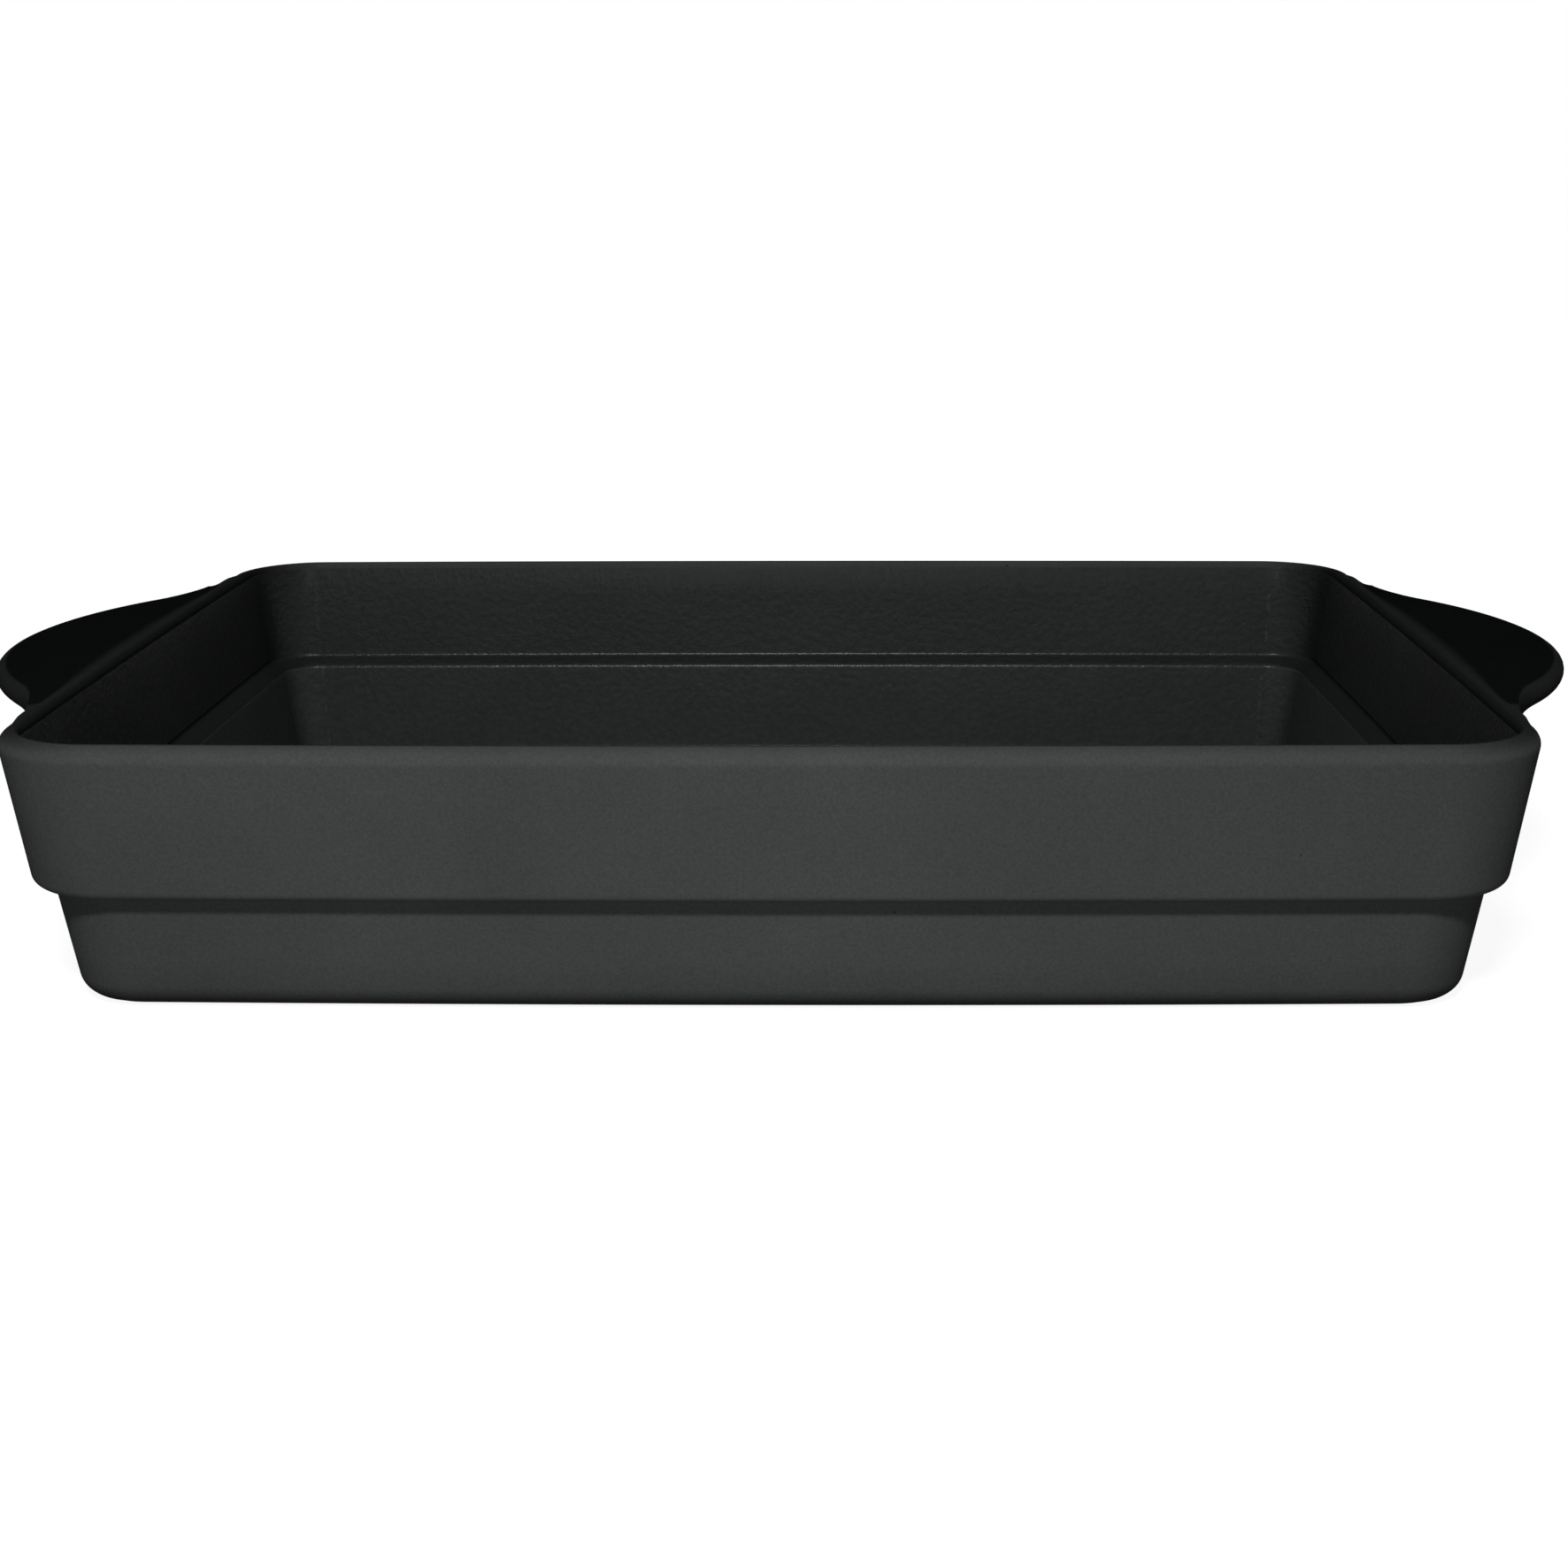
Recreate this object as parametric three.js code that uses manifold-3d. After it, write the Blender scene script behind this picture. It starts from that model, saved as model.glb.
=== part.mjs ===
// Rectangular stoneware baking dish with a stepped wall and a lug handle on each short side.
// Millimetres, +Z up. X runs along the dish, and the origin is on the table under its middle.
// The dish is built as a potter builds it: a clay body, two lugs luted on with slip, and glaze over all.
import * as THREE from "three";
import { mergeVertices } from "three/addons/utils/BufferGeometryUtils.js";
import Module from "manifold-3d";

const wasm = await Module();
wasm.setup();

// The finished dish in plan, measured over the glaze.
const RIM_LENGTH = 340;
const RIM_WIDTH = 250;
const RIM_CORNER = 24; // corner radius at the rim
const CORNER_TAPER = 2 / 3; // radius that a corner loses for each millimetre the outline draws in
const SHARPEST_CORNER = 4;
const LONG_CAMBER = 1.5; // bulge in the middle of a long side
const SHORT_CAMBER = 0.8;

// The finished wall in section: an upper band that overhangs a lower one, inside and out.
const HEIGHT = 63;
const WALL = 5.6;
const FLOOR = 5.6;
const UPPER_DRAFT = THREE.MathUtils.degToRad(8);
const LOWER_DRAFT = THREE.MathUtils.degToRad(9);
const RIM_ROUND = 3.4; // the rim's soft outer edge
const LIP_ROUND = 1.4; // its crisper inner one
const STEP_HEIGHT = 27.4;
const STEP_DEPTH = 4;
const STEP_SLOPE = THREE.MathUtils.degToRad(14); // its underside rises outwards
const STEP_ROLL = 3; // the rolled lower edge of the upper band
const STEP_ROOT = 0.6;
const LEDGE_HEIGHT = 34.5; // the step's counterpart inside, where it leaves the upper wall
const LEDGE_SLOPE = THREE.MathUtils.degToRad(30); // it falls inwards
const LEDGE_EDGE = 1.5;
const LEDGE_ROOT = 1.2;
const FLOOR_ROUND = 2.4;

// The underside: a bare foot ring round a shallow glazed recess.
const FOOT_ROUND = 6.2;
const FOOT_WIDTH = 9;
const FOOT_EDGE = 0.4;
const BASE_RECESS = 1;
const GLAZE_LINE = 1; // height that the foot is wiped clean to

// The lug handles: flat half-moons with a round edge, just below the rim, that sweep out into the wall.
const LUG_REACH = 30; // beyond the rim
const LUG_SPAN = 144; // along the rim, where the half-moon's arc would cross it
const LUG_SWEEP = 60; // radius of the hollow sweep at each root
const LUG_THICKNESS = 5.6;
const LUG_DROP = 0.4; // from the rim down to the lug
const LUG_EDGE = 2.6;
const ROOT_FILLET = 5; // slip smoothed into the corner under a lug
const ROOT_CROWN = 0.3; // the same in the shallow groove on top of it

// The layers, and the clearance that is kept between one and the next.
const GLAZE = 0.5;
const LUTE = 1; // slip between a lug and the wall
const GAP = 0.3;

// The most that a round may take of the thickness it is on, and how far a lug is let into the wall.
const RIM_SHARE = 0.62;
const LIP_SHARE = 0.3;
const ROLL_SHARE = 1.4; // of the step's depth, because the roll starts up the band
const LUG_SHARE = 0.48;
const HEEL_SHARE = 0.6;

// How finely round shapes are divided.
const CHORD = 0.15; // how far a facet may stray from its round
const CORNER_STEPS = 6;
const SIDE_STEPS = 4;
const LUG_STEPS = 16;
const SWEEP_STEPS = 5;
const LUG_EDGE_STEPS = 3;
const FILLET_STEPS = 4;
const ROOT_END_STEPS = 6;
const CUT_MARGIN = 10; // how far a cutting slab runs past what it cuts

const UNDER_GLAZE = GLAZE + GAP; // from the finished face down to the clay

// Turns a closed geometry into a solid that can be joined and cut.
function solidOf(geometry) {
  const bare = geometry.clone();
  bare.deleteAttribute("normal");
  bare.deleteAttribute("uv");
  const merged = mergeVertices(bare);
  const vertProperties = new Float32Array(merged.attributes.position.array);
  const triVerts = new Uint32Array(merged.index.array);
  return new wasm.Manifold(new wasm.Mesh({ numProp: 3, vertProperties, triVerts }));
}

function geometryOf(solid) {
  const { vertProperties, triVerts } = solid.getMesh();
  const geometry = new THREE.BufferGeometry();
  geometry.setAttribute("position", new THREE.BufferAttribute(vertProperties, 3));
  geometry.setIndex(new THREE.BufferAttribute(triVerts, 1));
  geometry.computeVertexNormals();
  return geometry;
}

// A closed solid through rings of equally many points, with a flat cap on the first and the last.
// `flatten` gives a ring's points in the plane of its cap, seen with the solid behind the first ring.
function loft(rings, flatten) {
  const count = rings[0].length;
  const last = (rings.length - 1) * count;
  const index = [];
  for (let ring = 0; ring + 1 < rings.length; ring += 1) {
    for (let step = 0; step < count; step += 1) {
      const a = ring * count + step;
      const b = ring * count + ((step + 1) % count);
      index.push(a, b, b + count, a, b + count, a + count);
    }
  }
  for (const [a, b, c] of THREE.ShapeUtils.triangulateShape(rings[0].map(flatten), [])) {
    index.push(c, b, a);
  }
  for (const [a, b, c] of THREE.ShapeUtils.triangulateShape(rings.at(-1).map(flatten), [])) {
    index.push(last + a, last + b, last + c);
  }
  const geometry = new THREE.BufferGeometry().setFromPoints(rings.flat());
  geometry.setIndex(index);
  return geometry;
}

// An arc round (x, y), turning the way that its angles run.
function arc(x, y, radius, from, to) {
  return new THREE.EllipseCurve(x, y, radius, radius, from, to, to < from);
}

// The dish's outline in plan, `outset` beyond the rim: round corners, and sides that bulge a little.
function outline(outset) {
  const radius = Math.max(RIM_CORNER + CORNER_TAPER * outset, SHARPEST_CORNER);
  const x = RIM_LENGTH / 2 + outset - SHORT_CAMBER - radius;
  const y = RIM_WIDTH / 2 + outset - LONG_CAMBER - radius;
  const quarter = Math.PI / 2;
  const centres = [[x, y], [-x, y], [-x, -y], [x, -y]];
  const corners = centres.map(([cx, cy], k) => {
    return arc(cx, cy, radius, k * quarter, (k + 1) * quarter).getPoints(CORNER_STEPS);
  });
  return corners.flatMap((corner, k) => {
    const start = corner.at(-1);
    const end = corners[(k + 1) % 4][0];
    const isLong = k % 2 === 0;
    const bulge = isLong
      ? new THREE.Vector2(0, 2 * LONG_CAMBER * Math.sign(start.y))
      : new THREE.Vector2(2 * SHORT_CAMBER * Math.sign(start.x), 0);
    const crown = start.clone().add(end).multiplyScalar(0.5).add(bulge);
    const side = new THREE.QuadraticBezierCurve(start, crown, end).getPoints(SIDE_STEPS);
    return [...corner, ...side.slice(1, -1)];
  });
}

const rimRound = Math.min(RIM_ROUND, RIM_SHARE * WALL);
const lipRound = Math.min(LIP_ROUND, LIP_SHARE * WALL);
const stepRoll = Math.min(STEP_ROLL, ROLL_SHARE * STEP_DEPTH);
const upperSlope = Math.tan(UPPER_DRAFT);
const lowerSlope = Math.tan(LOWER_DRAFT);
// The rounded rim is as wide as RIM_LENGTH says, so the wall's straight line runs a little outside it.
const wallTop = rimRound * (upperSlope + 1 / Math.cos(UPPER_DRAFT) - 1);

// The outer face's place at a height within the upper band, without its roll.
const upperWallAt = (z) => wallTop - upperSlope * (HEIGHT - z);
const ledgeOutset = upperWallAt(LEDGE_HEIGHT) - WALL;
const lowerWallTop = upperWallAt(STEP_HEIGHT) - STEP_DEPTH;
const footOutset = lowerWallTop - lowerSlope * STEP_HEIGHT;
const recessOutset = footOutset - FOOT_ROUND - FOOT_WIDTH;
const floorOutset = footOutset - WALL - FLOOR_ROUND;

// The section's straight faces as (outset, height), from the base outwards, up, over the rim and down to
// the floor. The clay is on the left of each, and `round` is the radius where it meets the next.
const SECTION = [
  { at: [0, BASE_RECESS], along: [1, 0], glazed: true, round: FOOT_EDGE },
  { at: [recessOutset, 0], along: [0, -1], glazed: false, round: FOOT_EDGE },
  { at: [0, 0], along: [1, 0], glazed: false, round: FOOT_ROUND },
  { at: [lowerWallTop, STEP_HEIGHT], along: [lowerSlope, 1], glazed: true, round: STEP_ROOT },
  { at: [lowerWallTop, STEP_HEIGHT], along: [1, Math.tan(STEP_SLOPE)], glazed: true, round: stepRoll },
  { at: [wallTop, HEIGHT], along: [upperSlope, 1], glazed: true, round: rimRound },
  { at: [0, HEIGHT], along: [-1, 0], glazed: true, round: lipRound },
  { at: [wallTop - WALL, HEIGHT], along: [-upperSlope, -1], glazed: true, round: LEDGE_ROOT },
  { at: [ledgeOutset, LEDGE_HEIGHT], along: [-1, -Math.tan(LEDGE_SLOPE)], glazed: true, round: LEDGE_EDGE },
  { at: [lowerWallTop - WALL, STEP_HEIGHT], along: [-lowerSlope, -1], glazed: true, round: FLOOR_ROUND },
  { at: [floorOutset, FLOOR], along: [-1, 0], glazed: true },
];

// The round between two faces of the section, as points on an arc that touches both.
function roundedCorner(face, next, inset) {
  const turn = Math.sign(face.along.cross(next.along));
  const sweep = Math.acos(face.along.dot(next.along));
  const radius = Math.max(face.round - turn * inset, CHORD);
  const reach = next.at.clone().sub(face.at).cross(next.along) / face.along.cross(next.along);
  const corner = face.at.clone().addScaledVector(face.along, reach);
  const start = corner.addScaledVector(face.along, -radius * Math.tan(sweep / 2));
  const centre = start.clone().addScaledVector(face.inwards, turn * radius);
  const from = start.clone().sub(centre).angle();
  const steps = Math.ceil(sweep / (2 * Math.acos(1 - CHORD / Math.max(radius, 2 * CHORD))));
  return arc(centre.x, centre.y, radius, from, from + turn * sweep).getPoints(steps);
}

// The dish with its glazed faces moved `inset` into the clay. A negative inset makes it larger.
function dish(inset) {
  const faces = SECTION.map(({ at, along, glazed, round }) => {
    const direction = new THREE.Vector2(...along).normalize();
    const inwards = new THREE.Vector2(-direction.y, direction.x);
    const place = new THREE.Vector2(...at).addScaledVector(inwards, glazed ? inset : 0);
    return { at: place, along: direction, inwards, round };
  });
  const corners = faces.slice(0, -1).flatMap((face, k) => roundedCorner(face, faces[k + 1], inset));
  const base = new THREE.Vector2(recessOutset - FOOT_WIDTH, faces[0].at.y);
  const section = [base, ...corners, faces.at(-1).at];
  const rings = section.map(({ x, y }) => outline(x).map((p) => new THREE.Vector3(p.x, p.y, y)));
  return solidOf(loft(rings, (p) => new THREE.Vector2(p.x, p.y)));
}

// The lug's edge in plan is one arc between two hollow sweeps that run out along the wall. The wall's line is
// taken at the ends of its camber, so that the sweeps sink into it.
const lugTop = HEIGHT - LUG_DROP;
const lugMiddle = lugTop - LUG_THICKNESS / 2;
const lugWall = RIM_LENGTH / 2 + upperWallAt(lugMiddle) - SHORT_CAMBER;
const heelDepth = HEEL_SHARE * WALL;
const lugHeel = lugWall - heelDepth; // hidden in the wall
const lugEdge = Math.min(LUG_EDGE, LUG_SHARE * LUG_THICKNESS, heelDepth - GAP);
const lugRadius = ((LUG_SPAN / 2) ** 2 + LUG_REACH ** 2) / (2 * LUG_REACH);
const lugCentre = RIM_LENGTH / 2 + LUG_REACH - lugRadius;
const sweepCentre = lugWall + LUG_SWEEP;
const sweepAngle = Math.acos((sweepCentre - lugCentre) / (lugRadius + LUG_SWEEP));
const rootHalf = (lugRadius + LUG_SWEEP) * Math.sin(sweepAngle); // from the middle to where a sweep ends

// The lug's outline in plan on the +X side, drawn in by `inset`, with its heel straight.
function lugOutline(inset) {
  const sweep = LUG_SWEEP + inset;
  const near = arc(sweepCentre, -rootHalf, sweep, Math.PI, Math.PI - sweepAngle);
  const front = arc(lugCentre, 0, lugRadius - inset, -sweepAngle, sweepAngle);
  const far = arc(sweepCentre, rootHalf, sweep, Math.PI + sweepAngle, Math.PI);
  return [
    new THREE.Vector2(lugHeel, -rootHalf),
    ...near.getPoints(SWEEP_STEPS),
    ...front.getPoints(LUG_STEPS).slice(1, -1),
    ...far.getPoints(SWEEP_STEPS),
    new THREE.Vector2(lugHeel, rootHalf),
  ];
}

// A lug on the +X side with its faces moved in by `inset`: its outline, lofted up a half-round edge.
function lug(inset) {
  const edge = lugEdge - inset;
  const straight = LUG_THICKNESS / 2 - lugEdge; // half of what the rounds leave of the edge
  const rings = [];
  for (const side of [-1, 1]) {
    for (let step = 0; step <= LUG_EDGE_STEPS; step += 1) {
      const rise = side < 0 ? LUG_EDGE_STEPS - step : step;
      const angle = ((rise / LUG_EDGE_STEPS) * Math.PI) / 2;
      const z = lugMiddle + side * (straight + edge * Math.sin(angle));
      const plan = lugOutline(inset + edge * (1 - Math.cos(angle)));
      rings.push(plan.map((p) => new THREE.Vector3(p.x, p.y, z)));
    }
  }
  return solidOf(loft(rings, (p) => new THREE.Vector2(p.x, p.y)));
}

// The slip smoothed round a lug's root: a collar that flares from the lug to the wall in a hollow curve.
// It leans with the wall, its ends are as slant as the lug's edge is there, and its heel is in the wall.
function flare(inset) {
  const slant = Math.acos(1 - ROOT_FILLET / LUG_SWEEP); // between the wall and the lug's edge at the lip
  const endLength = lugEdge / Math.sin(slant);
  const rings = [];
  const addRing = (angle, out) => {
    const spread = 1 - Math.sin(angle);
    const clear = LUG_SWEEP - ROOT_FILLET * (1 - Math.cos(angle));
    const half = rootHalf - Math.sqrt(LUG_SWEEP ** 2 - clear ** 2) - inset;
    const top = lugTop + ROOT_CROWN * spread - inset;
    const bottom = lugTop - LUG_THICKNESS - ROOT_FILLET * spread + inset;
    const ends = [1, -1].flatMap((side) => {
      const from = (-side * Math.PI) / 2;
      const y = side * (half - endLength);
      const halfHeight = (top - bottom) / 2;
      const z = bottom + halfHeight;
      const end = new THREE.EllipseCurve(y, z, endLength, halfHeight, from, from + Math.PI);
      return end.getPoints(ROOT_END_STEPS);
    });
    const x = (z) => lugWall + upperSlope * (z - lugMiddle) + out;
    rings.push(ends.map((p) => new THREE.Vector3(x(p.y), p.x, p.y)));
  };
  addRing(0, -heelDepth);
  for (let step = 0; step <= FILLET_STEPS; step += 1) {
    const angle = ((step / FILLET_STEPS) * Math.PI) / 2;
    addRing(angle, ROOT_FILLET * (1 - Math.cos(angle)) - inset);
  }
  return solidOf(loft(rings, (p) => new THREE.Vector2(p.y, p.z)));
}

// A solid's twin on the -X side.
function turned(solid) {
  return solidOf(geometryOf(solid).rotateZ(Math.PI));
}

// Everything that the glaze covers, with its faces moved in by `inset`.
function wholeDish(inset) {
  const root = lug(inset).add(flare(inset));
  return dish(inset).add(root).add(turned(root));
}

// A flat slab with the dish's outline in plan.
function slab(outset, bottom, top) {
  const edge = outline(outset);
  const rings = [bottom, top].map((z) => edge.map((p) => new THREE.Vector3(p.x, p.y, z)));
  return solidOf(loft(rings, (p) => new THREE.Vector2(p.x, p.y)));
}

// The glaze over the dish and its lugs, inside and out, wiped off the foot and away from the base.
function glazeCoat() {
  const foot = slab(0, -CUT_MARGIN, GLAZE_LINE);
  const base = slab(recessOutset + FOOT_EDGE, -CUT_MARGIN, BASE_RECESS + UNDER_GLAZE);
  return wholeDish(0).subtract(wholeDish(GLAZE)).subtract(foot).subtract(base);
}

// The glaze in the recess under the dish.
function baseGlaze() {
  return slab(recessOutset - FOOT_EDGE - GAP, BASE_RECESS, BASE_RECESS + GLAZE);
}

// A lug's root stands off the wall by the slip that bonds it.
const slipInner = UNDER_GLAZE - GAP;
const slipOuter = slipInner - LUTE;
const lugClay = () => lug(UNDER_GLAZE).subtract(dish(slipOuter - GAP));
const lugRoom = () => lug(UNDER_GLAZE - GAP).subtract(dish(slipOuter));
const slipCollar = () => flare(UNDER_GLAZE).subtract(dish(slipInner)).subtract(lugRoom());

const clay = new THREE.MeshStandardMaterial({ color: "#6b625a", roughness: 0.9, metalness: 0 });
const slip = new THREE.MeshStandardMaterial({ color: "#756b61", roughness: 0.9, metalness: 0 });
const glaze = new THREE.MeshStandardMaterial({ color: "#2f3130", roughness: 0.5, metalness: 0 });

const group = new THREE.Group();

function addPiece(name, geometry, material, turn = 0) {
  const mesh = new THREE.Mesh(geometry, material);
  mesh.name = name;
  mesh.rotation.z = turn;
  group.add(mesh);
}

addPiece("dish_body", geometryOf(dish(UNDER_GLAZE)), clay);
addPiece("base_glaze", geometryOf(baseGlaze()), glaze);
addPiece("glaze_coat", geometryOf(glazeCoat()), glaze);

const lugGeometry = geometryOf(lugClay());
const slipGeometry = geometryOf(slipCollar());
for (const [side, turn] of [["right", 0], ["left", Math.PI]]) {
  addPiece(`${side}_handle`, lugGeometry, clay, turn);
  addPiece(`${side}_handle_slip`, slipGeometry, slip, turn);
}

export default group;
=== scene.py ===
import math

import bmesh
import bpy
from bpy.props import FloatProperty, FloatVectorProperty, PointerProperty
from bpy.types import Operator, Panel, PropertyGroup
from mathutils import Matrix, Vector


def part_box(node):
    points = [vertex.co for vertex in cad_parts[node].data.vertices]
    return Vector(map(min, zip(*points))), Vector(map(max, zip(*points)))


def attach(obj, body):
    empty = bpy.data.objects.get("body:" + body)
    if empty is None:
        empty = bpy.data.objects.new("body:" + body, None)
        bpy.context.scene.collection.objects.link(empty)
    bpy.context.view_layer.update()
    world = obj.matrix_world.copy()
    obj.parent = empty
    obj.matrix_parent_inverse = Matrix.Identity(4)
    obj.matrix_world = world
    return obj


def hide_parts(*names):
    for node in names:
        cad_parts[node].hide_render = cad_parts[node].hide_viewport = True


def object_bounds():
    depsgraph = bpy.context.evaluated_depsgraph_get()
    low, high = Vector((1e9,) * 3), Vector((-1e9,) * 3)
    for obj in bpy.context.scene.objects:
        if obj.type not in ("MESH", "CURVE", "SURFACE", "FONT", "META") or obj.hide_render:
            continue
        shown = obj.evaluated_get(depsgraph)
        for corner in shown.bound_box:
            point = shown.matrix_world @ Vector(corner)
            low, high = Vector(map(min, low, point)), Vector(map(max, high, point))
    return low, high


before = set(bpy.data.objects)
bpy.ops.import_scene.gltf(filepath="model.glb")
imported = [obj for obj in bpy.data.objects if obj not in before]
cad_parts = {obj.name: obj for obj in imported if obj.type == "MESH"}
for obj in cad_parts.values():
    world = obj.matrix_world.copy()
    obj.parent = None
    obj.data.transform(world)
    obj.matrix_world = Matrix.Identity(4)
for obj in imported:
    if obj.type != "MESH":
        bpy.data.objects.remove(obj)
cad_low, cad_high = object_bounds()

bl_info = {
    "name": "Stoneware terrine dish",
    "version": (1, 0, 0),
    "blender": (4, 5, 0),
    "location": "View3D > Sidebar > Terrine dish",
    "description": "Builds an open stoneware dish with two lugs, its glazes and its studio",
    "category": "Add Mesh",
}

# Small sizes of the dish, in metres, that follow from how it is moulded and glazed.

# Plan: the length over the rim, how much the corners tighten as the wall draws in, and how far the
# sides bow outwards.
RIM_LENGTH = 0.34
CORNER_TAPER = 2 / 3
SHARPEST_CORNER = 0.004
LONG_CAMBER = 0.0015
SHORT_CAMBER = 0.0008

# The inside corners are tighter still. That comes in gradually across the top of the rim.
INSIDE_PINCH = 0.005
PINCH_START = 0.0025
PINCH_WIDTH = 0.004

# Section: rounds and slopes from the rim down to the floor and the foot.
RIM_ROUND = 0.0034
LIP_ROUND = 0.0014
STEP_SLOPE = math.radians(14)
STEP_ROLL = 0.003
STEP_ROOT = 0.0006
LEDGE_SLOPE = math.radians(30)
LEDGE_EDGE = 0.0015
LEDGE_ROOT = 0.0012
FLOOR_ROUND = 0.0024
FOOT_ROUND = 0.0062

# Underside: the foot ring, with the round outside it, and the recess that it surrounds.
FOOT_FLAT = 0.0152
FOOT_EDGE = 0.0004
RECESS_ROOT = 0.0003
BASE_RECESS = 0.001

# Lugs: the slip smoothed into their roots, their round edge, and where they run into the rim.
ROOT_FILLET = 0.005
EDGE_SHARE = 0.3
LUG_RISE = 0.0015
CROWN_START = -0.0015

# The slip at each end of a root also raises the rim's shoulder: how far, between which distances
# along the side, over which share of the rim's round, and which way (outwards and upwards).
ROOT_SWELL = 0.00075
ROOT_SWELL_FROM = (0.076, 0.084)
ROOT_SWELL_TO = (0.098, 0.09)
SWELL_RISE = (0.2, 0.7)
SWELL_WAY = (0.75, 0.66)

# Glaze: its thickness, how far the clay lies below its surface, and the round of the base patch.
GLAZE = 0.0005
UNDER_GLAZE = 0.0008
PATCH_EDGE = 0.0002

# Painted shade, from 0, the glaze's own colour, to 1, near black: it darkens the lugs, the rim's
# crown and top, the walls and ledges inside and the foot. A pair is for the long sides and the short
# sides.
LUG_SHADES = (0.8, 0.8, 0.8, 1)
CREST_STARTS = (0, 0.1)
CREST_SHADES = (0.2, 0.8)
TOP_SHADE = 0.85
INSIDE_SHADES = (0.25, 0.9)
LEDGE_SHADES = (0.8, 0.85)
LEDGE_BLEND = 0.0006
BELOW_SHADE = 0.13
FOOT_SHADE = 0.7
FOOT_SHADE_TOP = 0.0105

# Painted light, from 0 to 1: lighter glaze on the roll of the step, and painted glints along the
# edges and upright corners inside; and how far from such an edge it still shows.
ROLL_PAINTED_LIGHT = 0.45
ROLL_REACH = 0.0024
LINER_PAINTED_GLINT = 0.22
LINER_REACH = 0.0004
CORNER_PAINTED_GLINT = 0.15

# The lip keeps the matt glaze down to this depth, where the liner begins. Rows within the slack of the
# rim's height count as its top.
LIP_DEPTH = 0.0021
TOP_SLACK = 0.000005
MATT, LINER = 0, 1

# How finely the rings and the section are divided.
CORNER_STEPS = 24
LONG_STEPS = 28
SHORT_STEPS = 76
ARC_PITCH = 0.00045
ARC_LEAST = 5
SUPPORT = 0.0005
ROW_PITCH = 0.009
FLOOR_RINGS = (-0.045, -0.062, -0.08, -0.098, -0.113)

# Rows over a lug's fillet, underside, edge and top and over the rim's crown, each with the share of
# the rim's line where the same rows end on the rest of the dish.
LUG_ROWS = ((7, 0.35), (7, 0.42), (13, 0.7), (8, 0.87), (6, 1.0))

# Studio: half the floor's side, where its white begins to clear and is clear, in metres, the white at
# both, and what the lights aim at.
FLOOR_HALF = 6
FLOOR_CLEARS = (0.3, 0.7)
FLOOR_WHITES = (0.93, 1)
LIGHT_AIM = (0, 0, 0.03)

# Camera: its place in metres, its turns in radians, its sensor in millimetres and its shift.
CAMERA_PLACE = (0.0184878, -0.6024398, 0.1806785)
CAMERA_HEADING = 0.0141
CAMERA_DIP = 0.256
CAMERA_ROLL = -0.0034
CAMERA_SENSOR = 36
CAMERA_SHIFT = -0.02216


class DishSizes(PropertyGroup):
    """Sizes of the dish and its wall"""

    rim_length: FloatProperty(
        name="Rim length", description="Length over the rim, without the lugs",
        default=RIM_LENGTH, unit="LENGTH")
    rim_width: FloatProperty(
        name="Rim width", description="Width over the rim",
        default=cad_high.y - cad_low.y, unit="LENGTH")
    rim_corner: FloatProperty(
        name="Rim corner", description="Plan radius of the corners at the rim",
        default=0.024, unit="LENGTH")
    height: FloatProperty(
        name="Height", description="Height from the foot to the rim",
        default=cad_high.z, unit="LENGTH")
    wall: FloatProperty(
        name="Wall", description="Thickness of the wall with its glaze",
        default=0.0056, unit="LENGTH")
    floor: FloatProperty(
        name="Floor", description="Height of the inside floor above the foot",
        default=0.0056, unit="LENGTH")
    upper_draft: FloatProperty(
        name="Upper draft", description="Outward lean of the wall above the step",
        default=math.radians(8), subtype="ANGLE")
    lower_draft: FloatProperty(
        name="Lower draft", description="Outward lean of the wall below the step",
        default=math.radians(9), subtype="ANGLE")
    step_height: FloatProperty(
        name="Step height", description="Height of the step on the outside",
        default=0.027, unit="LENGTH")
    step_depth: FloatProperty(
        name="Step depth", description="How far the upper wall overhangs the lower one",
        default=0.004, unit="LENGTH")
    ledge_height: FloatProperty(
        name="Ledge height", description="Height of the sloping ledge on the inside",
        default=0.0345, unit="LENGTH")
    glaze_line: FloatProperty(
        name="Glaze line", description="Height on the foot where the glaze is wiped off",
        default=0.001, unit="LENGTH")


class LugSizes(PropertyGroup):
    """Sizes of the two lugs"""

    reach: FloatProperty(
        name="Reach", description="How far a lug stands out from the rim",
        default=cad_high.x - RIM_LENGTH / 2, unit="LENGTH")
    bow: FloatProperty(
        name="Bow", description="Plan radius of the lug's outer edge",
        default=0.1014, unit="LENGTH")
    sweep: FloatProperty(
        name="Sweep", description="Plan radius of the hollow curve at each end of the lug",
        default=0.06, unit="LENGTH")
    thickness: FloatProperty(
        name="Thickness", description="Thickness of the lug with its glaze",
        default=0.0056, unit="LENGTH")
    drop: FloatProperty(
        name="Drop", description="How far the top of the lug lies below the rim",
        default=0.0004, unit="LENGTH")


def linear(code):
    """Turns an sRGB hex value into linear light."""
    parts = [int(code[i:i + 2], 16) / 255 for i in (1, 3, 5)]
    return [p / 12.92 if p <= 0.04045 else ((p + 0.055) / 1.055) ** 2.4 for p in parts]


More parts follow.
